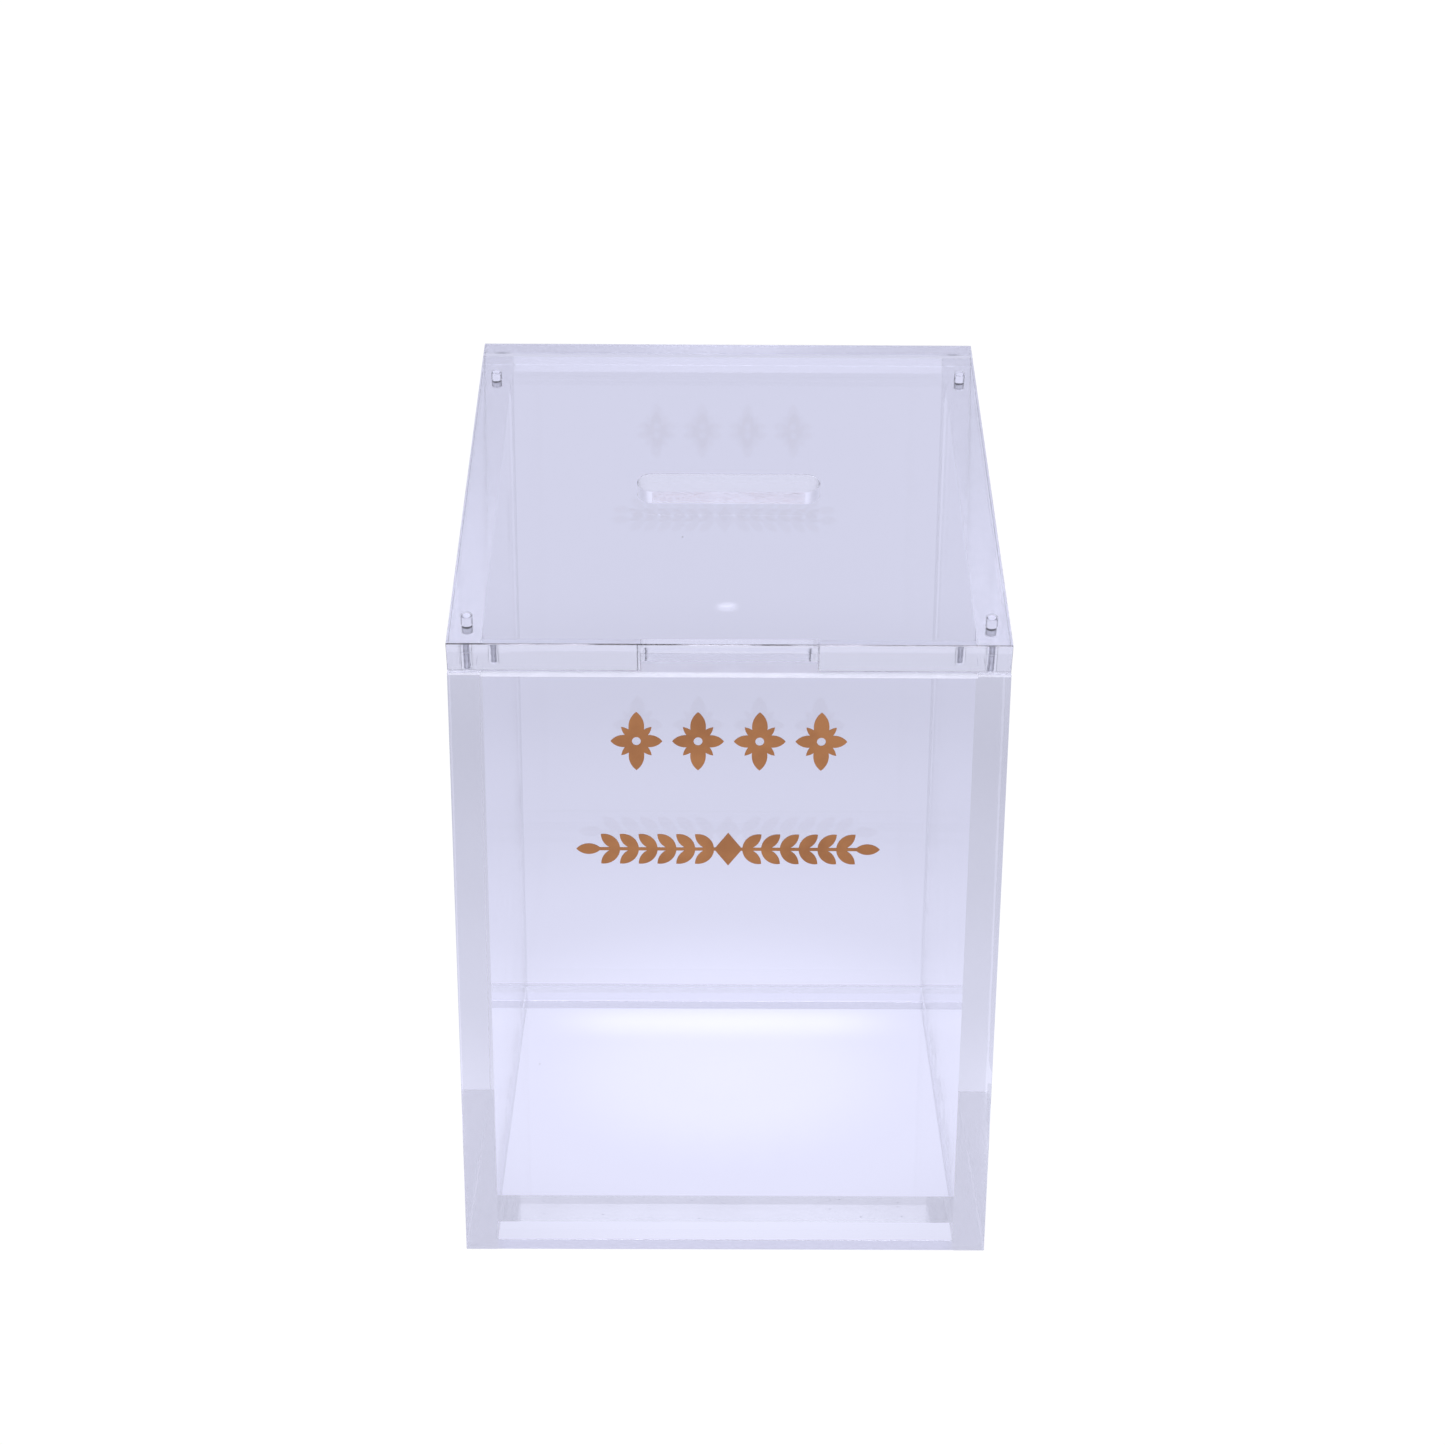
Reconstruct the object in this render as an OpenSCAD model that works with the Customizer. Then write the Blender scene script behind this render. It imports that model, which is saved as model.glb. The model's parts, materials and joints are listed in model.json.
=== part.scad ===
// Clear acrylic collection box with a sloping lift-off lid.
// Millimetres, +Z up. Origin: centre of the footprint, on the surface the box stands on.
// The front face looks along -Y. The back is taller than the front.

/* [Box] */
// Width over the side panels, and of the lid
box_w = 101.6; // [80:0.1:160]
// Depth from the front face to the back face
box_d = 101.6; // [80:0.1:160]
// Height of the front face, under the lid
front_h = 121; // [90:0.5:200]
// Slope of the lid, rising to the back, in degrees
lid_slope = 16; // [5:0.5:20]
// Thickness of every acrylic sheet
sheet_t = 6; // [5:0.5:6.5]
// Height of the underside of the floor panel
floor_lift = 4; // [2:0.5:10]

/* [Coin slot] */
// Length of the slot, over its round ends
slot_l = 35.5; // [25:0.5:60]
// Width of the slot
slot_w = 6.4; // [5:0.1:8]

/* [Finger recess] */
// Length of the recess under the front edge of the lid
recess_l = 32; // [20:0.5:50]
// Height of the recess
recess_h = 4; // [2:0.5:4]
// Depth of the recess
recess_d = 3; // [2:0.5:5]

/* [Locating pins] */
// Diameter of a pin
pin_d = 2; // [1.5:0.1:3]
// Length of a pin, half in the side panel and half in the lid
pin_l = 8; // [5:0.5:8]
// Distance from a pin's axis to the front or back edge of the lid
pin_inset = 10; // [8:0.5:16]
// Radial clearance round a pin in the lid
pin_clear = 0.09; // [0.02:0.01:0.1]
// Radial glue line round a pin in the side panel
pin_glue = 0.01; // [0.01:0.01:0.03]

/* [Gold ornament] */
// Thickness of the gold film
film_t = 0.15; // [0.1:0.05:0.3]
// Height of a rosette, over its upright petals
rosette_h = 11.4; // [8:0.2:12]
// Width of a rosette, over its level petals
rosette_w = 9.4; // [8:0.2:10]
// Distance between neighbouring rosettes
rosette_pitch = 11.2; // [10.5:0.1:16]
// Height of the rosettes' centres
rosette_z = 108; // [95:0.5:110]
// Length of the leaf border
border_l = 56; // [40:1:70]
// Height of the leaf border's centre line
border_z = 86.5; // [60:0.5:90]
// Length of one leaf
leaf_l = 4.6; // [3:0.1:5]

/* [Hidden] */
$fn = 64;
// Overshoot of a cutting tool past the face that it cuts
cut = 1;

// Sizes that follow from the driving ones
inner_w = box_w - 2 * sheet_t;
inner_d = box_d - 2 * sheet_t;
back_h = front_h + box_d * tan(lid_slope);
lid_l = box_d / cos(lid_slope);
pin_x = (box_w - sheet_t) / 2;
pin_y = lid_l / 2 - pin_inset;
pin_chamfer = 0.25;
pin_hole_end = 0.2;
front_y = -box_d / 2;

// Petals and leaves are lenses: width over length
petal_ratio = 0.5;
small_petal_l = 3.9;
small_petal_ratio = 0.34;
leaf_ratio = 0.46;
leaf_angle = 40;
leaf_pairs = 6;
stem_w = 0.6;
lozenge_w = 5.2;
lozenge_h = 6.6;
rosette_eye_d = 1.6;
rosette_hub_d = 3.2;

// --- frames -------------------------------------------------------------------------

// The lid's own frame: centre of the lid's underside, X across, Y up the slope, Z out of the lid
module lid_frame() {
    translate([0, 0, (front_h + back_h) / 2])
        rotate([lid_slope, 0, 0])
            translate([0, sheet_t / 2 * tan(lid_slope), 0])
                children();
}

// Stands an outline drawn in depth and height across the box, w wide and centred
module across(w) {
    translate([-w / 2, 0, 0])
        rotate([90, 0, 90])
            linear_extrude(w)
                children();
}

// Lays an outline drawn in width and height on the front face as film
module on_front() {
    translate([0, front_y, 0])
        rotate([90, 0, 0])
            linear_extrude(film_t)
                children();
}

// --- acrylic panels -----------------------------------------------------------------

// Height of the sloping top edges at depth y
function top_z(y) = front_h + (y - front_y) * tan(lid_slope);

// A strip of the box's side outline, from depth y1 to y2, with the sloping top
module side_outline(y1, y2) {
    polygon([[y1, 0], [y2, 0], [y2, top_z(y2)], [y1, top_z(y1)]]);
}

// A bore of radius r along the pins' axis, from depth below to height above the lid's underside
module pin_bores(x, r, below, above) {
    for (y = [-pin_y, pin_y])
        lid_frame()
            translate([x, y, -below])
                cylinder(r = r, h = below + above);
}

module side_panel(side) {
    color([0.86, 0.87, 0.95, 0.45])
        difference() {
            translate([side * pin_x, 0, 0])
                across(sheet_t)
                    side_outline(front_y, -front_y);
            pin_bores(side * pin_x, pin_d / 2 + pin_glue, pin_l / 2, cut);
        }
}

module left_side_panel() {
    side_panel(-1);
}

module right_side_panel() {
    side_panel(1);
}

module front_panel() {
    color([0.84, 0.85, 0.94, 0.45])
        across(inner_w)
            side_outline(front_y, front_y + sheet_t);
}

module back_panel() {
    color([0.84, 0.85, 0.94, 0.45])
        across(inner_w)
            side_outline(-front_y - sheet_t, -front_y);
}

module floor_panel() {
    color([0.92, 0.93, 0.99, 0.45])
        translate([-inner_w / 2, -inner_d / 2, floor_lift])
            cube([inner_w, inner_d, sheet_t]);
}

// --- lid ----------------------------------------------------------------------------

// Outline of the coin slot, with half-round ends
module slot_outline() {
    straight = slot_l - slot_w;
    square([straight, slot_w], center = true);
    for (x = [-straight / 2, straight / 2])
        translate([x, 0])
            circle(d = slot_w);
}

module lid_plate() {
    translate([-box_w / 2, -lid_l / 2, 0])
        cube([box_w, lid_l, sheet_t]);
}

module slot_cut() {
    translate([0, 0, -cut])
        linear_extrude(sheet_t + 2 * cut)
            slot_outline();
}

// Groove under the middle of the front edge
module recess_cut() {
    translate([-recess_l / 2, -lid_l / 2 - cut, -cut])
        cube([recess_l, recess_d + cut, recess_h + cut]);
}

module lid() {
    color([0.83, 0.84, 0.93, 0.45])
        difference() {
            lid_frame()
                difference() {
                    lid_plate();
                    slot_cut();
                    recess_cut();
                }
            for (x = [-pin_x, pin_x])
                pin_bores(x, pin_d / 2 + pin_clear, cut, pin_l / 2 + pin_hole_end);
        }
}

// --- locating pins ------------------------------------------------------------------

// Half section of a pin with chamfered ends
module pin_section() {
    r = pin_d / 2;
    polygon([
        [0, 0], [r - pin_chamfer, 0], [r, pin_chamfer],
        [r, pin_l - pin_chamfer], [r - pin_chamfer, pin_l], [0, pin_l]
    ]);
}

module pin(side, end) {
    color("silver")
        lid_frame()
            translate([side * pin_x, end * pin_y, -pin_l / 2])
                rotate_extrude()
                    pin_section();
}

// --- gold ornament ------------------------------------------------------------------

// A pointed lens from the origin along +X: two arcs that meet at both tips
module lens(length, ratio) {
    half = length / 2;
    rise = half * ratio;
    r = (half * half + rise * rise) / (2 * rise);
    translate([half, 0])
        intersection() {
            translate([0, r - rise])
                circle(r);
            translate([0, rise - r])
                circle(r);
        }
}

// Long petals upright, shorter ones level, small ones between, round a pierced hub
module rosette_outline() {
    difference() {
        union() {
            for (a = [90, 270])
                rotate(a)
                    lens(rosette_h / 2, petal_ratio);
            for (a = [0, 180])
                rotate(a)
                    lens(rosette_w / 2, petal_ratio);
            for (a = [45:90:315])
                rotate(a)
                    lens(small_petal_l, small_petal_ratio);
            circle(d = rosette_hub_d);
        }
        circle(d = rosette_eye_d);
    }
}

module rosette(place) {
    color([0.66, 0.44, 0.25])
        on_front()
            translate([(place - 2.5) * rosette_pitch, rosette_z])
                rosette_outline();
}

// One half of the border: a stem with leaves in pairs and one leaf at its tip
module leaf_spray() {
    tip = border_l / 2 - leaf_l;
    pitch = (tip - lozenge_w / 2) / leaf_pairs;
    translate([0, -stem_w / 2])
        square([tip + leaf_l / 2, stem_w]);
    translate([tip, 0])
        lens(leaf_l, leaf_ratio);
    for (i = [0:leaf_pairs - 1], a = [-leaf_angle, leaf_angle])
        translate([lozenge_w / 2 + i * pitch, 0])
            rotate(a)
                lens(leaf_l, leaf_ratio);
}

module lozenge() {
    polygon([[-lozenge_w / 2, 0], [0, -lozenge_h / 2], [lozenge_w / 2, 0], [0, lozenge_h / 2]]);
}

module gold_leaf_border() {
    color([0.66, 0.44, 0.25])
        on_front()
            translate([0, border_z]) {
                lozenge();
                leaf_spray();
                mirror([1, 0])
                    leaf_spray();
            }
}

left_side_panel();
right_side_panel();
front_panel();
back_panel();
floor_panel();
lid();
pin(-1, -1);  // pin_front_left
pin(1, -1);  // pin_front_right
pin(-1, 1);  // pin_back_left
pin(1, 1);  // pin_back_right
rosette(1);  // gold_rosette_1
rosette(2);  // gold_rosette_2
rosette(3);  // gold_rosette_3
rosette(4);  // gold_rosette_4
gold_leaf_border();
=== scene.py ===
import json
import math

import bmesh
import bpy
from mathutils import Matrix, Vector


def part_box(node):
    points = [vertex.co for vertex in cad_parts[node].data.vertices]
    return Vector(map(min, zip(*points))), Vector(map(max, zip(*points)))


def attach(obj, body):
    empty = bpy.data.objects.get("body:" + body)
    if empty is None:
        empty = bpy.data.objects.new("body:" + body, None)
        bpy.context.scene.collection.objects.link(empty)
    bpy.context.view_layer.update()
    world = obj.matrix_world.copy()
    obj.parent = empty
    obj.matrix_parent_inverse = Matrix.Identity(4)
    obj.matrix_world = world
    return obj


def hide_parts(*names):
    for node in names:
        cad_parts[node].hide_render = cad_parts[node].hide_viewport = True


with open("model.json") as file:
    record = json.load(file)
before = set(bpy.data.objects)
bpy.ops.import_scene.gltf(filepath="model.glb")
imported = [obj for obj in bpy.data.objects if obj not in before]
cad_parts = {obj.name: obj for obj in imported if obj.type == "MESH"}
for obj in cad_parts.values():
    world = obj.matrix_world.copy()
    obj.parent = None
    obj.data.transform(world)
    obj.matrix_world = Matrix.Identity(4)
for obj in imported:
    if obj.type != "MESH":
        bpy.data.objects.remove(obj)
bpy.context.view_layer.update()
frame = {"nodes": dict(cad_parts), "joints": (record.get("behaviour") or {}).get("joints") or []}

# --- Camera -------------------------------------------------------------------------------
# The box is seen from in front and a little above, with a short telephoto lens.
# The camera stands half a metre away, so the box tapers towards its foot.

MM = 0.001
CAMERA_PLACE = Vector((-3.6, -512.5, 298.5)) * MM
CAMERA_DOWN = math.radians(22.03)
CAMERA_RIGHT = math.radians(0.30)
CAMERA_ROLL = math.radians(0.345)
LENS_MM = 68.5

lens = bpy.data.cameras.new("camera")
lens.lens = LENS_MM
lens.sensor_width = 36
lens.clip_start = 0.01
lens.clip_end = 50
camera = bpy.data.objects.new("camera", lens)
bpy.context.scene.collection.objects.link(camera)
camera.matrix_world = (
    Matrix.Translation(CAMERA_PLACE)
    @ Matrix.Rotation(-CAMERA_RIGHT, 4, "Z")
    @ Matrix.Rotation(math.pi / 2 - CAMERA_DOWN, 4, "X")
    @ Matrix.Rotation(CAMERA_ROLL, 4, "Z")
)
bpy.context.scene.camera = camera

# --- Side panels --------------------------------------------------------------------------
# Two upright sheets of clear cast acrylic, the full depth of the box, with sloping top edges.
# They are sawn from sheet. The front edges are polished, the sloping tops rubbed to satin, and
# the backs and feet only sanded. Solvent cement welds the other panels to their inner faces.

side_lo, side_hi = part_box("left_side_panel")
front_lo, front_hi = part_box("front_panel")
back_lo, back_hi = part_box("back_panel")
floor_lo, floor_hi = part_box("floor_panel")
lift_axis = Vector(frame["joints"][0]["axis"]).normalized()
slope = math.atan2(-lift_axis.y, lift_axis.z)

ARRIS = 0.12 * MM       # width of the round that eases an outer edge
SIDE_BROW = 0.3 * MM    # width of the scraped arris at the top of a side panel's front edge
NEAR_TOP = 5 * MM       # an edge this close under a sheet's top is one of its upper edges
SAME = 1e-6             # two coordinates closer than this are the same
MERGE = 1e-7            # two points closer than this become one

# Each surface's place in the list sheet_surfaces
CAST, POLISHED, SAWN, WELD, ROUTED, SANDED, HAZY_WELD, SATIN, SHADED_ARRIS, SCRAPED, RUBBED = range(11)


def top_z(y):
    """Height of the sloping top edges at depth y."""
    return side_hi.z - (side_hi.y - y) * math.tan(slope)


def side_outline(y_lo, y_hi):
    """A strip of the box's side outline, from the ground to the sloping top."""
    return [(y_lo, 0.0), (y_hi, 0.0), (y_hi, top_z(y_hi)), (y_lo, top_z(y_lo))]


def prism(outline, x_lo, x_hi):
    """A closed sheet: an outline of (y, z) points carried from x_lo to x_hi."""
    shape = bmesh.new()
    left = [shape.verts.new((x_lo, y, z)) for y, z in outline]
    right = [shape.verts.new((x_hi, y, z)) for y, z in outline]
    shape.faces.new(left[::-1])
    shape.faces.new(right)
    for i in range(len(outline)):
        j = (i + 1) % len(outline)
        shape.faces.new((left[i], left[j], right[j], right[i]))
    bmesh.ops.recalc_face_normals(shape, faces=shape.faces[:])
    return shape


def same(*values):
    """True where all the values are the same coordinate."""
    return max(values) - min(values) < SAME


def ease(shape, chosen, width=ARRIS):
    """Rounds the edges for which chosen(one end, other end) is true."""
    edges = [e for e in shape.edges if chosen(e.verts[0].co, e.verts[1].co)]
    bmesh.ops.bevel(shape, geom=edges, offset=width, segments=3, profile=0.5, affect="EDGES")


def score(shape, *planes):
    """Cuts new edges into the faces where each plane (point, normal) meets them."""
    for point, normal in planes:
        everything = shape.verts[:] + shape.edges[:] + shape.faces[:]
        bmesh.ops.bisect_plane(shape, geom=everything, plane_co=point, plane_no=normal, dist=MERGE)


def finish_faces(shape, rule):
    """Gives each face the surface that rule(centre, normal) says."""
    shape.normal_update()
    for face in shape.faces:
        face.material_index = rule(face.calc_center_median(), face.normal)


def make_piece(name, shape, surfaces):
    """Turns a shape into a named piece with its surfaces as material slots."""
    mesh = bpy.data.meshes.new(name)
    shape.to_mesh(mesh)
    shape.free()
    for surface in surfaces:
        mesh.materials.append(surface)
    piece = bpy.data.objects.new(name, mesh)
    bpy.context.scene.collection.objects.link(piece)
    return piece


def cut_away(shape, cutter):
    """Cuts a cutter's shape out of a shape and gives back what is left."""
    body = make_piece("body", shape, [])
    tool = make_piece("cutter", cutter, [])
    cut = body.modifiers.new("cut", "BOOLEAN")
    cut.operation = "DIFFERENCE"
    cut.solver = "EXACT"
    cut.object = tool
    evaluated = body.evaluated_get(bpy.context.evaluated_depsgraph_get())
    left_over = bmesh.new()
    left_over.from_mesh(evaluated.to_mesh())
    bmesh.ops.remove_doubles(left_over, verts=left_over.verts[:], dist=MERGE)
    for used in (body, tool):
        mesh = used.data
        bpy.data.objects.remove(used)
        bpy.data.meshes.remove(mesh)
    return left_over


def drill(place, radius, depth):
    """A drill's path: a cylinder of twice the depth, centred on a place."""
    path = bmesh.new()
    bmesh.ops.create_cone(path, cap_ends=True, segments=48, radius1=radius, radius2=radius,
                          depth=2 * depth, matrix=place)
    return path


def colour(code):
    """An sRGB hex code as a linear colour with alpha."""
    parts = [int(code[i:i + 2], 16) / 255 for i in (0, 2, 4)]
    return (*(p / 12.92 if p <= 0.04045 else ((p + 0.055) / 1.055) ** 2.4 for p in parts), 1.0)


def add(tree, kind, sockets=None, **settings):
    """Adds a node with its settings. A socket is given a value or another node's output."""
    node = tree.nodes.new(kind)
    for name, value in settings.items():
        setattr(node, name, value)
    for name, value in (sockets or {}).items():
        if isinstance(value, bpy.types.NodeSocket):
            tree.links.new(value, node.inputs[name])
        else:
            node.inputs[name].default_value = value
    return node


def blend(tree, factor, first, second):
    """Mixes two colours, from all first to all second, and gives back the mixed colour."""
    mixed = add(tree, "ShaderNodeMix", {"Factor": factor, 6: first, 7: second}, data_type="RGBA")
    return mixed.outputs[2]


def new_material(name):
    """A material with an empty node tree, and its output node."""
    material = bpy.data.materials.new(name)
    material.use_nodes = True
    material.node_tree.nodes.clear()
    return material, material.node_tree, add(material.node_tree, "ShaderNodeOutputMaterial")


ACRYLIC_IOR = 1.49
ACRYLIC_TINT = "fbfbfe"      # nearly water clear
SANDED_SHADE_TINT = "e8e8ec"       # a grey tint that loses a little light: painted shade on the sanded feet and back edges


def acrylic_cast_face():
    """Cast acrylic as it comes off the glass mould: clear and glossy.

    Its slight waves make what is seen through it waver, and a rare speck of dust shows as a dot.
    """
    material, tree, output = new_material("acrylic_cast_face")
    place = add(tree, "ShaderNodeTexCoord").outputs["Object"]
    wave_mm = 22
    wave = add(tree, "ShaderNodeTexNoise", {"Vector": place, "Scale": 1000 / wave_mm, "Detail": 1.0})
    bump = add(tree, "ShaderNodeBump",
               {"Height": wave.outputs["Fac"], "Distance": 0.012 * MM, "Strength": 1.0})
    between_specks_mm = 17
    cells = add(tree, "ShaderNodeTexVoronoi", {"Vector": place, "Scale": 1000 / between_specks_mm})
    speck = add(tree, "ShaderNodeMapRange", {
        "Value": cells.outputs["Distance"], "From Min": 0.008, "From Max": 0.014,
        "To Min": 1, "To Max": 0})
    tint = blend(tree, speck.outputs["Result"], colour(ACRYLIC_TINT), colour("8a8884"))
    shader = add(tree, "ShaderNodeBsdfPrincipled", {
        "Base Color": tint, "IOR": ACRYLIC_IOR, "Roughness": 0.0,
        "Transmission Weight": 1.0, "Normal": bump.outputs["Normal"]})
    tree.links.new(shader.outputs["BSDF"], output.inputs["Surface"])
    return material


def worked_acrylic(name, mark_mm, mark_depth_mm, roughness, tint=ACRYLIC_TINT):
    """Acrylic with tool marks: the marks ripple what is seen through it, and roughness blurs it.

    The marks are drawn coarser than life, so that they still show from half a metre away.
    """
    material, tree, output = new_material(name)
    place = add(tree, "ShaderNodeTexCoord").outputs["Object"]
    marks = add(tree, "ShaderNodeTexNoise", {"Vector": place, "Scale": 1000 / mark_mm, "Detail": 2.0})
    bump = add(tree, "ShaderNodeBump",
               {"Height": marks.outputs["Fac"], "Distance": mark_depth_mm * MM, "Strength": 1.0})
    shader = add(tree, "ShaderNodeBsdfPrincipled", {
        "Base Color": colour(tint), "IOR": ACRYLIC_IOR, "Roughness": roughness,
        "Transmission Weight": 1.0, "Normal": bump.outputs["Normal"]})
    tree.links.new(shader.outputs["BSDF"], output.inputs["Surface"])
    return material


def acrylic_shaded_arris():
    """An eased arris painted with shade: a thin dark line, darker in blotches along it."""
    material, tree, output = new_material("acrylic_shaded_arris")
    place = add(tree, "ShaderNodeTexCoord").outputs["Object"]
    blotch_mm = 14
    blotches = add(tree, "ShaderNodeTexNoise", {"Vector": place, "Scale": 1000 / blotch_mm, "Detail": 2.0})
    # painted shade: the ramp colours the arris as a dark line, darker in blotches along it
    dust = add(tree, "ShaderNodeValToRGB", {"Fac": blotches.outputs["Fac"]})
    dust.color_ramp.elements[0].position = 0.42
    dust.color_ramp.elements[0].color = colour("2c2826")
    dust.color_ramp.elements[1].position = 0.6
    dust.color_ramp.elements[1].color = colour("b4b0b0")
    shader = add(tree, "ShaderNodeBsdfPrincipled", {
        "Base Color": dust.outputs["Color"], "IOR": ACRYLIC_IOR, "Roughness": 0.3,
        "Transmission Weight": 1.0})
    tree.links.new(shader.outputs["BSDF"], output.inputs["Surface"])
    return material


def acrylic_scraped_arris():
    """An arris scraped by hand and left rough: a thin white line that catches light from above."""
    material, tree, output = new_material("acrylic_scraped_arris")
    place = add(tree, "ShaderNodeTexCoord").outputs["Object"]
    scrape_mm = 3
    scrapes = add(tree, "ShaderNodeTexNoise",
                  {"Vector": place, "Scale": 1000 / scrape_mm, "Detail": 2.0})
    clearness = add(tree, "ShaderNodeMapRange", {
        "Value": scrapes.outputs["Fac"], "From Min": 0.35, "From Max": 0.65,
        "To Min": 0.2, "To Max": 0.0})
    shader = add(tree, "ShaderNodeBsdfPrincipled", {
        "Base Color": colour("ffffff"), "IOR": ACRYLIC_IOR, "Roughness": 0.5,
        "Transmission Weight": clearness.outputs["Result"]})
    tree.links.new(shader.outputs["BSDF"], output.inputs["Surface"])
    return material


def solvent_weld(name, dimness):
    """Two acrylic faces welded by solvent: nothing shows but a few small bubbles and some haze.

    dimness is the share of the light that the haze takes.
    """
    material, tree, output = new_material(name)
    place = add(tree, "ShaderNodeTexCoord").outputs["Object"]
    bubble_mm = 1.6
    cells = add(tree, "ShaderNodeTexVoronoi", {"Vector": place, "Scale": 1000 / bubble_mm})
    bubble = add(tree, "ShaderNodeMapRange", {
        "Value": cells.outputs["Distance"], "From Min": 0.06, "From Max": 0.1,
        "To Min": 1, "To Max": 0})
    empty_cells = 0.8    # the share of the cells that hold no bubble
    rare = add(tree, "ShaderNodeMath", {0: cells.outputs["Color"], 1: empty_cells},
               operation="GREATER_THAN")
    shown = add(tree, "ShaderNodeMath", {0: bubble.outputs["Result"], 1: rare.outputs["Value"]},
                operation="MULTIPLY")
    haze_mm = 25 / 3
    haze_spread = 0.15
    haze = add(tree, "ShaderNodeTexNoise", {"Vector": place, "Scale": 1000 / haze_mm, "Detail": 3.0})
    tone = add(tree, "ShaderNodeMapRange", {
        "Value": haze.outputs["Fac"], "From Min": 0.4, "From Max": 0.6,
        "To Min": 1 - (1 + haze_spread) * dimness, "To Max": 1 - (1 - haze_spread) * dimness})
    clear = add(tree, "ShaderNodeBsdfTransparent", {"Color": tone.outputs["Result"]})
    void = add(tree, "ShaderNodeBsdfPrincipled", {
        "Base Color": colour(ACRYLIC_TINT), "IOR": ACRYLIC_IOR, "Roughness": 0.0,
        "Transmission Weight": 1.0})
    mix = add(tree, "ShaderNodeMixShader", {
        "Fac": shown.outputs["Value"], 1: clear.outputs["BSDF"], 2: void.outputs["BSDF"]})
    tree.links.new(mix.outputs["Shader"], output.inputs["Surface"])
    return material


cast_face = acrylic_cast_face()
# Buffed back to clear: glossy, with a trace of the saw's lines
polished_edge = worked_acrylic("acrylic_polished_edge", 2.5, 0.006, 0.01)
# Left as the fine-toothed saw cut it: matt, so what lies behind it blurs away
sawn_edge = worked_acrylic("acrylic_sawn_edge", 0.8, 0.02, 0.75)
# A clean weld: it all but vanishes
weld = solvent_weld("solvent_weld", 0.0)
# Left by the router bit: nearly clear, but finely rippled
routed_wall = worked_acrylic("acrylic_routed_wall", 0.5, 0.02, 0.05)
# Rubbed down and left: it passes light and blurs shapes, and a grey tint paints shade into it
sanded_edge = worked_acrylic("acrylic_sanded_edge", 1.2, 0.01, 0.25, SANDED_SHADE_TINT)
# A weld that took the solvent unevenly: a faint grey band
hazy_weld = solvent_weld("hazy_solvent_weld", 0.13)
# Rubbed on finer paper: a soft satin that still shows light and shade behind it
satin_edge = worked_acrylic("acrylic_satin_edge", 1.2, 0.01, 0.12)
# for the lid's front arrises: a painted dark line of shade
shaded_arris = acrylic_shaded_arris()
scraped_arris = acrylic_scraped_arris()
# Rubbed down: the sanded edge's blur without its painted shade
rubbed_edge = worked_acrylic("acrylic_rubbed_edge", 1.2, 0.01, 0.25)
sheet_surfaces = [cast_face, polished_edge, sawn_edge, weld, routed_wall, sanded_edge, hazy_weld,
                  satin_edge, shaded_arris, scraped_arris, rubbed_edge]

floor_planes = [(Vector((0, 0, z)), Vector((0, 0, 1))) for z in (floor_lo.z, floor_hi.z)]
upright_planes = [(Vector((0, y, 0)), Vector((0, 1, 0))) for y in (front_hi.y, back_lo.y)]


def in_floor_joint(centre):
    """True between the top and the underside of the floor panel."""
    return floor_lo.z < centre.z < floor_hi.z


PINS = ("pin_front_left", "pin_front_right", "pin_back_left", "pin_back_right")
GLUE_HOLE_RADIUS = 1.01 * MM    # a 2 mm pin and a film of cement
GLUE_HOLE_DEPTH = 4.02 * MM     # half the pin's length and the same film


def middle(node):
    """Centre of a node's box."""
    lo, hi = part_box(node)
    return (lo + hi) / 2


def in_pin_hole(centre):
    """True for the wall and the end of a hole that a pin is cemented into."""
    for pin in PINS:
        offset = centre - middle(pin)
        above_mouth = offset.dot(lift_axis)
        from_axis = (offset - above_mouth * lift_axis).length
        if from_axis < 1.2 * GLUE_HOLE_RADIUS and above_mouth < -SAME:
            return True
    return False


def side_panel(name, node):
    """One side sheet, eased, with its two pin holes and a surface for each kind of face."""
    lo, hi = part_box(node)
    outer_x, inner_x = (lo.x, hi.x) if lo.x < 0 else (hi.x, lo.x)
    shape = prism(side_outline(lo.y, hi.y), lo.x, hi.x)

    def outer_arris(a, b):
        return same(a.x, b.x, outer_x) and (same(a.y, b.y) or same(a.z, b.z))

    def brow(a, b):
        return same(a.y, b.y, lo.y) and min(a.z, b.z) > front_hi.z - NEAR_TOP

    ease(shape, outer_arris)
    ease(shape, brow, SIDE_BROW)
    score(shape, *floor_planes, *upright_planes)
    for pin in PINS:
        if middle(pin).x * middle(node).x > 0:
            place = Matrix.Translation(middle(pin)) @ Matrix.Rotation(slope, 4, "X")
            shape = cut_away(shape, drill(place, GLUE_HOLE_RADIUS, GLUE_HOLE_DEPTH))

    def surface(centre, normal):
        """Tells the edges apart by the way they face. Cement fills the pin holes like a weld."""
        if in_pin_hole(centre):
            return WELD
        if centre.y < lo.y + SIDE_BROW + ARRIS and normal.y < -0.1 and normal.z > 0.1:
            return SCRAPED
        if abs(normal.x) < 0.9:
            if normal.z > 0.5:
                return SATIN
            return SANDED if normal.y > 0.1 or normal.z < -0.5 else POLISHED
        inner = same(centre.x, inner_x)
        at_upright = not front_hi.y < centre.y < back_lo.y
        return WELD if inner and (at_upright or in_floor_joint(centre)) else CAST

    finish_faces(shape, surface)
    piece = make_piece(name, shape, sheet_surfaces)
    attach(piece, "box")
    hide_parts(node)


side_panel("left_side_sheet", "left_side_panel")
side_panel("right_side_sheet", "right_side_panel")

# --- Front and back panels ----------------------------------------------------------------
# Two upright sheets between the side panels, the back one taller.
# Their top edges are cut to the slope of the lid: the front one is left as sawn, with its outer
# arris scraped white, and the back one is dressed. Their ends are welded to the side panels.

FRONT_BROW = 0.6 * MM    # width of the scraped arris along the top of the front panel


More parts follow.
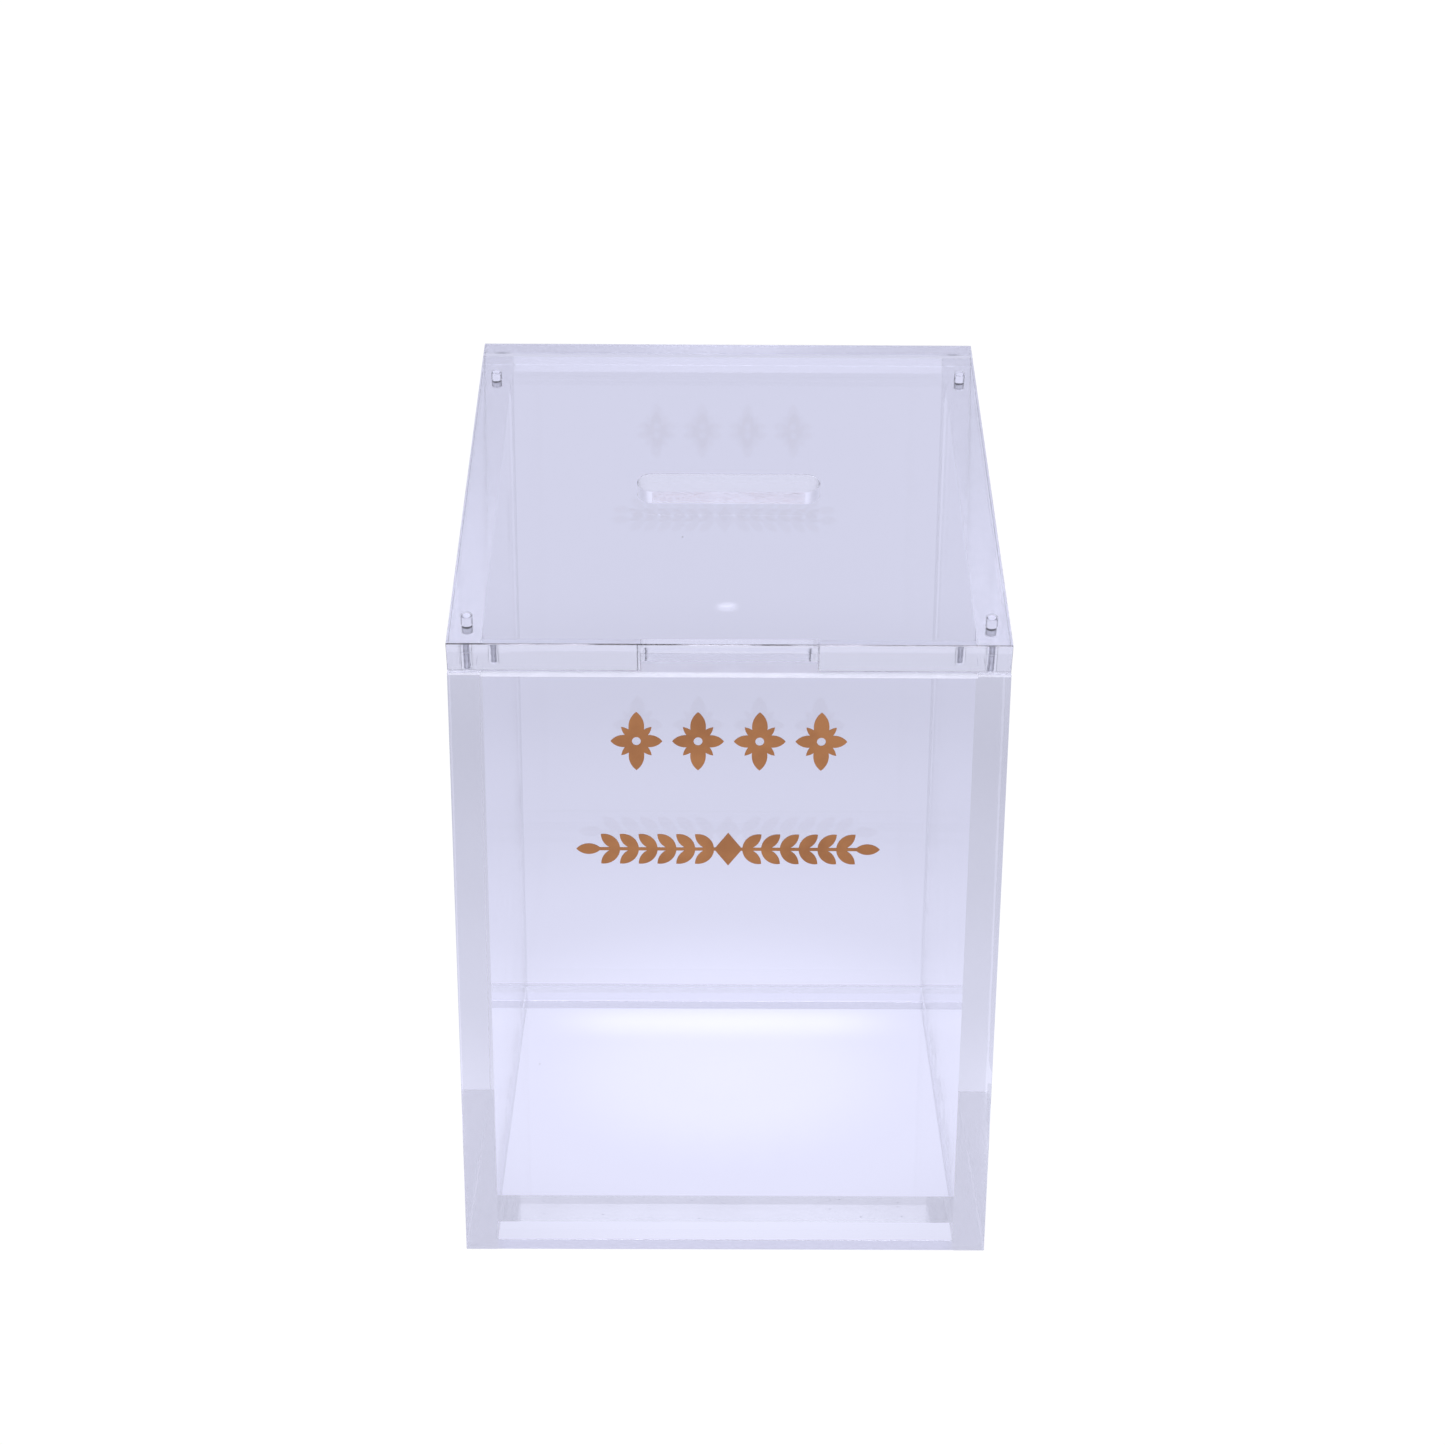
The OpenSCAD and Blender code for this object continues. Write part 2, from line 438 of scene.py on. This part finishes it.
def cross_panel(name, node, inner_y, brow_width):
    """One sheet between the side panels; brow_width eases the front arris of its top edge."""
    lo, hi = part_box(node)
    is_front = inner_y < 0
    middle_y = (lo.y + hi.y) / 2
    shape = prism(side_outline(lo.y, hi.y), lo.x, hi.x)

    def along(a, b):
        return same(a.y, b.y) and same(a.z, b.z)

    def brow(a, b):
        return along(a, b) and same(a.y, lo.y) and a.z > hi.z - NEAR_TOP

    def other_arris(a, b):
        return along(a, b) and not (a.y < lo.y + 1.5 * FRONT_BROW and a.z > hi.z - NEAR_TOP)

    ease(shape, brow, brow_width)
    ease(shape, other_arris)
    score(shape, *floor_planes, (Vector((0, middle_y, 0)), Vector((0, 1, 0))))

    def surface(centre, normal):
        """Tells the edges apart by the way they face. The back panel's top is part polished."""
        if abs(normal.x) > 0.9:
            return WELD
        slanted = max(abs(part) for part in normal) < 0.995
        if is_front and slanted and normal.y < -0.3 and normal.z > 0.1 and centre.z > hi.z - NEAR_TOP:
            return SCRAPED
        if abs(normal.y) < 0.9:
            if normal.z > 0.9:
                if is_front:
                    return SAWN
                return SATIN if centre.y > middle_y else POLISHED
            return SANDED if normal.z < -0.5 else POLISHED
        return WELD if same(centre.y, inner_y) and in_floor_joint(centre) else CAST

    finish_faces(shape, surface)
    piece = make_piece(name, shape, sheet_surfaces)
    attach(piece, "box")
    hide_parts(node)


cross_panel("front_sheet", "front_panel", front_hi.y, FRONT_BROW)
cross_panel("back_sheet", "back_panel", back_lo.y, ARRIS)

# --- Floor panel --------------------------------------------------------------------------
# A square sheet welded between the four uprights, a few millimetres clear of the table.
# Its faces are as cast. The weld along its front edge is a little hazy.


def floor_surface(centre, normal):
    """The floor panel's surface for each face."""
    if abs(normal.z) > 0.9:
        return CAST
    return HAZY_WELD if normal.y < -0.9 else WELD


shape = prism([(floor_lo.y, floor_lo.z), (floor_hi.y, floor_lo.z),
               (floor_hi.y, floor_hi.z), (floor_lo.y, floor_hi.z)], floor_lo.x, floor_hi.x)
finish_faces(shape, floor_surface)
floor_sheet = make_piece("floor_sheet", shape, sheet_surfaces)
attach(floor_sheet, "box")
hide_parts("floor_panel")

# --- Locating pins ------------------------------------------------------------------------
# Four stainless dowel pins, cemented upright into the top edges of the side panels.
# They are ground all over and chamfered at the ends. The lid drops over them.

SHADE_RING_DEPTH = 0.5 * MM       # the painted ring of shade lies this far below the hole's mouth
SHADE_RING_HALF_HEIGHT = 0.5 * MM
SHADE_RING_FADE = 0.05 * MM
CHAMFER_FACING = 0.707        # how far a 45 degree chamfer faces along the pin


def ground_stainless():
    """Stainless steel, centreless ground: bright grey with fine rings round the pin.

    The rings are drawn far coarser than life. A highlight is painted on the ends and shade on the
    chamfers, and a painted ring of shade shows dark just inside the hole.
    """
    material, tree, output = new_material("ground_stainless_steel")
    place = add(tree, "ShaderNodeTexCoord").outputs["Object"]
    ring_mm = 1.57
    turn_at_scale_1 = 20      # radians that a wave texture of scale 1 turns in a metre
    rings = add(tree, "ShaderNodeTexWave", {
        "Vector": place, "Scale": 1000 * math.tau / (turn_at_scale_1 * ring_mm), "Distortion": 1.0},
        bands_direction="Z")
    shaft = blend(tree, rings.outputs["Fac"], colour("d4d4d8"), colour("e6e6ea"))
    along_pin = add(tree, "ShaderNodeVectorMath", {0: place, 1: lift_axis}, operation="DOT_PRODUCT")
    height = add(tree, "ShaderNodeMath", {0: along_pin.outputs["Value"], 1: top_z(0) * lift_axis.z},
                 operation="SUBTRACT")
    lifted = add(tree, "ShaderNodeMath", {0: height.outputs["Value"], 1: SHADE_RING_DEPTH},
                 operation="ADD")
    from_ring = add(tree, "ShaderNodeMath", {0: lifted.outputs["Value"]}, operation="ABSOLUTE")
    # painted shade: a dark ring round the shaft just inside the hole's mouth, where pin and panel meet
    cement = add(tree, "ShaderNodeMapRange", {
        "Value": from_ring.outputs["Value"], "From Min": SHADE_RING_HALF_HEIGHT - SHADE_RING_FADE,
        "From Max": SHADE_RING_HALF_HEIGHT + SHADE_RING_FADE, "To Min": 1, "To Max": 0})
    ring_shaded = blend(tree, cement.outputs["Result"], shaft, colour("1c1c20"))
    normal = add(tree, "ShaderNodeNewGeometry").outputs["Normal"]
    facing = add(tree, "ShaderNodeVectorMath", {0: normal, 1: lift_axis}, operation="DOT_PRODUCT")
    # painted highlight: the ends, which face up along the pin, are coloured near white
    end = add(tree, "ShaderNodeMath", {0: facing.outputs["Value"], 1: 0.9}, operation="GREATER_THAN")
    end_highlighted = blend(tree, end.outputs["Value"], ring_shaded, colour("fafafc"))
    # painted shade: the 45 degree chamfers are coloured dark grey
    shaded_chamfer = add(tree, "ShaderNodeMath", {0: facing.outputs["Value"], 1: CHAMFER_FACING, 2: 0.15},
              operation="COMPARE")
    tone = blend(tree, shaded_chamfer.outputs["Value"], end_highlighted, colour("707076"))
    bump = add(tree, "ShaderNodeBump",
               {"Height": rings.outputs["Fac"], "Distance": 0.004 * MM, "Strength": 1.0})
    shader = add(tree, "ShaderNodeBsdfPrincipled", {
        "Base Color": tone, "Metallic": 1.0, "Roughness": 0.4, "Normal": bump.outputs["Normal"]})
    tree.links.new(shader.outputs["BSDF"], output.inputs["Surface"])
    return material


pin_steel = ground_stainless()
for node in PINS:
    pin = frame["nodes"][node]
    pin.data.materials.clear()
    pin.data.materials.append(pin_steel)

# --- Lid ----------------------------------------------------------------------------------
# One cast sheet that lies loose on the sloping top edges. The coin slot is routed through it.
# A finger recess is routed under its front edge, and four blind holes drop over the pins.
# Its edges are polished but for the back one, and shade is painted on its eased front arrises.

lid_lo, lid_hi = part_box("lid")
LID_GAP = 0.04 * MM    # air left between the lid and the panels it lies on
SLOT_LENGTH = 35.5 * MM
SLOT_WIDTH = 6.4 * MM
RECESS_LENGTH = 32 * MM
RECESS_HEIGHT = 4 * MM
RECESS_DEPTH = 3 * MM
PIN_HOLE_RADIUS = 1.09 * MM
PIN_HOLE_DEPTH = 4.2 * MM
LID_BROW = 1.5 * ARRIS    # width of the eased arris along the front edge
LID_ARRIS = ARRIS / 2
SHARP = math.radians(50)  # an edge that turns more than this is eased

sheet_t = front_hi.y - front_lo.y
lid_length = (side_hi.y - side_lo.y) / math.cos(slope)
lid_width = lid_hi.x - lid_lo.x
lid_frame = (
    Matrix.Translation((0, 0, top_z(0)))
    @ Matrix.Rotation(slope, 4, "X")
    @ Matrix.Translation((0, sheet_t / 2 * math.tan(slope), 0))
)


def block(x_lo, x_hi, y_lo, y_hi, z_lo, z_hi):
    """A closed block between the given faces."""
    return prism([(y_lo, z_lo), (y_hi, z_lo), (y_hi, z_hi), (y_lo, z_hi)], x_lo, x_hi)


def slot_cutter():
    """The router's path: a bar with half-round ends, standing through the lid."""
    cutter = bmesh.new()
    reach = (SLOT_LENGTH - SLOT_WIDTH) / 2
    radius = SLOT_WIDTH / 2
    steps = 40
    ring = []
    for centre_x, start in ((reach, -90), (-reach, 90)):
        for i in range(steps + 1):
            angle = math.radians(start + 180 * i / steps)
            ring.append((centre_x + radius * math.cos(angle), radius * math.sin(angle)))
    top = [cutter.verts.new((x, y, 2 * sheet_t)) for x, y in ring]
    bottom = [cutter.verts.new((x, y, -sheet_t)) for x, y in ring]
    cutter.faces.new(top)
    cutter.faces.new(bottom[::-1])
    for i in range(len(ring)):
        j = (i + 1) % len(ring)
        cutter.faces.new((bottom[i], bottom[j], top[j], top[i]))
    bmesh.ops.recalc_face_normals(cutter, faces=cutter.faces[:])
    return cutter


shape = block(-lid_width / 2, lid_width / 2, -lid_length / 2, lid_length / 2, LID_GAP, sheet_t)
shape = cut_away(shape, slot_cutter())
shape = cut_away(shape, block(-RECESS_LENGTH / 2, RECESS_LENGTH / 2, -lid_length,
                              -lid_length / 2 + RECESS_DEPTH, -sheet_t, RECESS_HEIGHT))
for node in PINS:
    spot = lid_frame.inverted() @ middle(node)
    shape = cut_away(shape, drill(Matrix.Translation(spot), PIN_HOLE_RADIUS, PIN_HOLE_DEPTH))


def lid_surface(centre, normal):
    """The lid's surface for each face, in the lid's own frame."""
    slack = 0.01 * MM
    front_y = -lid_length / 2
    slanted = max(abs(part) for part in normal) < 0.99
    if slanted and centre.y < front_y + LID_BROW + slack:
        # the eased front arrises take the painted shade
        return SHADED_ARRIS
    if abs(normal.z) > 0.9:
        recess_ceiling = abs(centre.z - RECESS_HEIGHT) < RECESS_HEIGHT / 10
        return POLISHED if recess_ceiling else CAST
    if centre.y > lid_length / 2 - slack:
        return RUBBED
    in_slot = abs(centre.x) < SLOT_LENGTH / 2 + slack and abs(centre.y) < SLOT_WIDTH / 2 + slack
    recess_end = (abs(centre.x) < RECESS_LENGTH / 2 + slack and abs(normal.x) > 0.9
                  and front_y + slack < centre.y < front_y + RECESS_DEPTH + slack)
    return ROUTED if in_slot or recess_end else POLISHED


def front_arris(edge):
    """True for an edge that runs across the lid's front face."""
    a, b = (vertex.co for vertex in edge.verts)
    return same(a.y, b.y, -lid_length / 2) and same(a.z, b.z)


def sharp_edge(edge):
    """True for an edge where the sheet turns a corner."""
    return len(edge.link_faces) == 2 and edge.calc_face_angle(0) > SHARP


front_arrises = [edge for edge in shape.edges if front_arris(edge)]
bmesh.ops.bevel(shape, geom=front_arrises, offset=LID_BROW, segments=2, profile=0.5, affect="EDGES")
sharp_edges = [edge for edge in shape.edges if sharp_edge(edge)]
bmesh.ops.bevel(shape, geom=sharp_edges, offset=LID_ARRIS, segments=2, profile=0.5, affect="EDGES")
finish_faces(shape, lid_surface)
lid_sheet = make_piece("lid_sheet", shape, sheet_surfaces)
lid_sheet.data.transform(lid_frame)
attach(lid_sheet, "lid")
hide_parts("lid")

# --- Gold ornament ------------------------------------------------------------------------
# Four rosettes in a row and a leaf border below them, cut from self-adhesive satin gold film.
# They are pressed onto the outside of the front panel.

FILM_BITE = 0.02 * MM  # how far the adhesive sinks the film into the face


def gold_film():
    """Metallised vinyl film: warm bronze gold, a little patchy, with a soft satin shine."""
    material, tree, output = new_material("satin_gold_film")
    place = add(tree, "ShaderNodeTexCoord").outputs["Object"]
    patch_mm = 6
    patches = add(tree, "ShaderNodeTexNoise", {"Vector": place, "Scale": 1000 / patch_mm, "Detail": 3.0})
    shade = add(tree, "ShaderNodeValToRGB", {"Fac": patches.outputs["Fac"]})
    shade.color_ramp.elements[0].position = 0.35
    shade.color_ramp.elements[0].color = colour("a86e3c")
    shade.color_ramp.elements[1].position = 0.65
    shade.color_ramp.elements[1].color = colour("b87c46")
    shader = add(tree, "ShaderNodeBsdfPrincipled", {
        "Base Color": shade.outputs["Color"], "Metallic": 0.35, "Roughness": 0.45})
    tree.links.new(shader.outputs["BSDF"], output.inputs["Surface"])
    return material


film = gold_film()
for node in ("gold_rosette_1", "gold_rosette_2", "gold_rosette_3", "gold_rosette_4", "gold_leaf_border"):
    mesh = frame["nodes"][node].data.copy()
    for vertex in mesh.vertices:
        if vertex.co.y > front_lo.y - SAME:
            vertex.co.y += FILM_BITE
    mesh.materials.clear()
    mesh.materials.append(film)
    ornament = bpy.data.objects.new(node + "_film", mesh)
    bpy.context.scene.collection.objects.link(ornament)
    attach(ornament, "box")
    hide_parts(node)

# --- Table and light ----------------------------------------------------------------------
# A plain pale table under soft, cool studio light: a large lamp overhead, a small one behind.
# Looked at directly the table is plain white. Seen through the acrylic it glows in the light's cool
# cast, painted brightest under the box, as though the panels carried light to it, and dimmer behind.

STUDIO_CAST = colour("ebecff")
TABLE_HALF_WIDTH = 12      # metres, so that its edge is out of sight
TABLE_DROP = 0.05 * MM     # keeps the table's face off the feet of the box
TABLE_WHITE = 1.02
GLOW_CENTRE = Vector((0, 15, 0)) * MM
GLOW_REACH = 330 * MM
GLOW_PEAK = 1.2
# The painted glow's level at each distance in millimetres from its centre
GLOW = [(0, 1.17), (15, 1.15), (45, 1.04), (92, 0.89), (155, 0.81), (236, 0.73), (330, 0.81)]
SPILL_PLACE = 39 * MM      # painted light, as though spilling from the foot of the back panel
SPILL_SPREAD = 10 * MM
SPILL_PEAK = 0.2
FRONT_LIGHT = 0.3          # painted light: the table in front of the box is this much brighter
FRONT_LIGHT_FROM = -130 * MM
FRONT_LIGHT_TO = -50 * MM
SKY_LEVEL = 0.87
ZENITH_LEVEL = 4.2         # a large soft lamp straight overhead
ZENITH_FROM = 0.86         # height on the unit sphere where that lamp begins
ZENITH_TO = 0.99
LAMP = Vector((0.0066, 0.6211, 0.7837))   # the way to a lamp behind the box, 51.6 degrees up
LAMP_STRETCH = Vector((190, 560, 560))    # its reach is one over these
LAMP_LEVEL = 2.2
LAMP_CORE = 0.3            # share of its reach over which it is at full level


def pale_table():
    """Matt white laminate drawn glowing: white to look at, cool and graded with painted light through
    the box.
    """
    material, tree, output = new_material("table_with_painted_glow")
    place = add(tree, "ShaderNodeTexCoord").outputs["Object"]
    # painted light: a pool of light round the box, brightest under it, falling off further away
    distance = add(tree, "ShaderNodeVectorMath", {0: place, 1: GLOW_CENTRE}, operation="DISTANCE")
    reach = add(tree, "ShaderNodeMath", {0: distance.outputs["Value"], 1: GLOW_REACH},
                operation="DIVIDE")
    glow = add(tree, "ShaderNodeValToRGB", {"Fac": reach.outputs["Value"]})
    while len(glow.color_ramp.elements) < len(GLOW):
        glow.color_ramp.elements.new(0.5)
    for element, (radius_mm, level) in zip(glow.color_ramp.elements, GLOW):
        element.position = radius_mm * MM / GLOW_REACH
        element.color = (level / GLOW_PEAK,) * 3 + (1,)
    glow.color_ramp.interpolation = "EASE"
    glow_level = add(tree, "ShaderNodeMath", {0: glow.outputs["Color"], 1: GLOW_PEAK},
                     operation="MULTIPLY")
    parts = add(tree, "ShaderNodeSeparateXYZ", {"Vector": place})
    # painted light: a bright band on the table along the foot of the back panel
    past_spill = add(tree, "ShaderNodeMath", {0: parts.outputs["Y"], 1: SPILL_PLACE},
                     operation="SUBTRACT")
    from_spill = add(tree, "ShaderNodeMath", {0: past_spill.outputs["Value"]}, operation="ABSOLUTE")
    spill = add(tree, "ShaderNodeMapRange", {
        "Value": from_spill.outputs["Value"], "From Min": 0, "From Max": SPILL_SPREAD,
        "To Min": SPILL_PEAK, "To Max": 0}, interpolation_type="SMOOTHSTEP")
    from_middle = add(tree, "ShaderNodeMath", {0: parts.outputs["X"]}, operation="ABSOLUTE")
    spill_ends = add(tree, "ShaderNodeMapRange", {
        "Value": from_middle.outputs["Value"], "From Min": 0.5 * back_hi.x, "From Max": back_hi.x,
        "To Min": 1, "To Max": 0}, interpolation_type="SMOOTHSTEP")
    spilt = add(tree, "ShaderNodeMath",
                {0: spill.outputs["Result"], 1: spill_ends.outputs["Result"]}, operation="MULTIPLY")
    # painted light: the table in front of the box is made brighter
    in_front = add(tree, "ShaderNodeMapRange", {
        "Value": parts.outputs["Y"], "From Min": FRONT_LIGHT_FROM, "From Max": FRONT_LIGHT_TO,
        "To Min": FRONT_LIGHT, "To Max": 0}, interpolation_type="SMOOTHSTEP")
    painted_light = add(tree, "ShaderNodeMath",
              {0: glow_level.outputs["Value"], 1: in_front.outputs["Result"]}, operation="ADD")
    total = add(tree, "ShaderNodeMath", {0: painted_light.outputs["Value"], 1: spilt.outputs["Value"]},
                operation="ADD")
    through = add(tree, "ShaderNodeEmission",
                  {"Color": STUDIO_CAST, "Strength": total.outputs["Value"]})
    direct = add(tree, "ShaderNodeEmission", {"Color": (1, 1, 1, 1), "Strength": TABLE_WHITE})
    seen_directly = add(tree, "ShaderNodeLightPath").outputs["Is Camera Ray"]
    mix = add(tree, "ShaderNodeMixShader", {
        "Fac": seen_directly, 1: through.outputs["Emission"], 2: direct.outputs["Emission"]})
    tree.links.new(mix.outputs["Shader"], output.inputs["Surface"])
    return material


table_shape = bmesh.new()
bmesh.ops.create_grid(table_shape, x_segments=1, y_segments=1, size=TABLE_HALF_WIDTH)
table = make_piece("table", table_shape, [pale_table()])
table.location.z = -TABLE_DROP

world = bpy.data.worlds.new("studio")
bpy.context.scene.world = world
world.use_nodes = True
sky = world.node_tree
sky.nodes.clear()
direction = add(sky, "ShaderNodeTexCoord").outputs["Generated"]
direction_parts = add(sky, "ShaderNodeSeparateXYZ", {"Vector": direction})
overhead = add(sky, "ShaderNodeMapRange", {
    "Value": direction_parts.outputs["Z"], "From Min": ZENITH_FROM, "From Max": ZENITH_TO,
    "To Min": SKY_LEVEL, "To Max": ZENITH_LEVEL}, interpolation_type="SMOOTHSTEP")
toward = add(sky, "ShaderNodeVectorMath", {0: direction, 1: LAMP}, operation="SUBTRACT")
apart = add(sky, "ShaderNodeVectorMath", {0: toward.outputs["Vector"], 1: LAMP_STRETCH},
            operation="MULTIPLY")
from_lamp = add(sky, "ShaderNodeVectorMath", {0: apart.outputs["Vector"]}, operation="LENGTH")
lamp = add(sky, "ShaderNodeMapRange", {
    "Value": from_lamp.outputs["Value"], "From Min": LAMP_CORE, "From Max": 1.0,
    "To Min": LAMP_LEVEL, "To Max": 0}, interpolation_type="SMOOTHSTEP")
strength = add(sky, "ShaderNodeMath", {0: overhead.outputs["Result"], 1: lamp.outputs["Result"]},
               operation="ADD")
background = add(sky, "ShaderNodeBackground",
                 {"Color": STUDIO_CAST, "Strength": strength.outputs["Value"]})
add(sky, "ShaderNodeOutputWorld", {"Surface": background.outputs["Background"]})

scene = bpy.context.scene
scene.view_settings.view_transform = "Standard"
scene.cycles.use_denoising = True
scene.cycles.max_bounces = 40
scene.cycles.transmission_bounces = 40
scene.cycles.glossy_bounces = 24
scene.cycles.transparent_max_bounces = 64
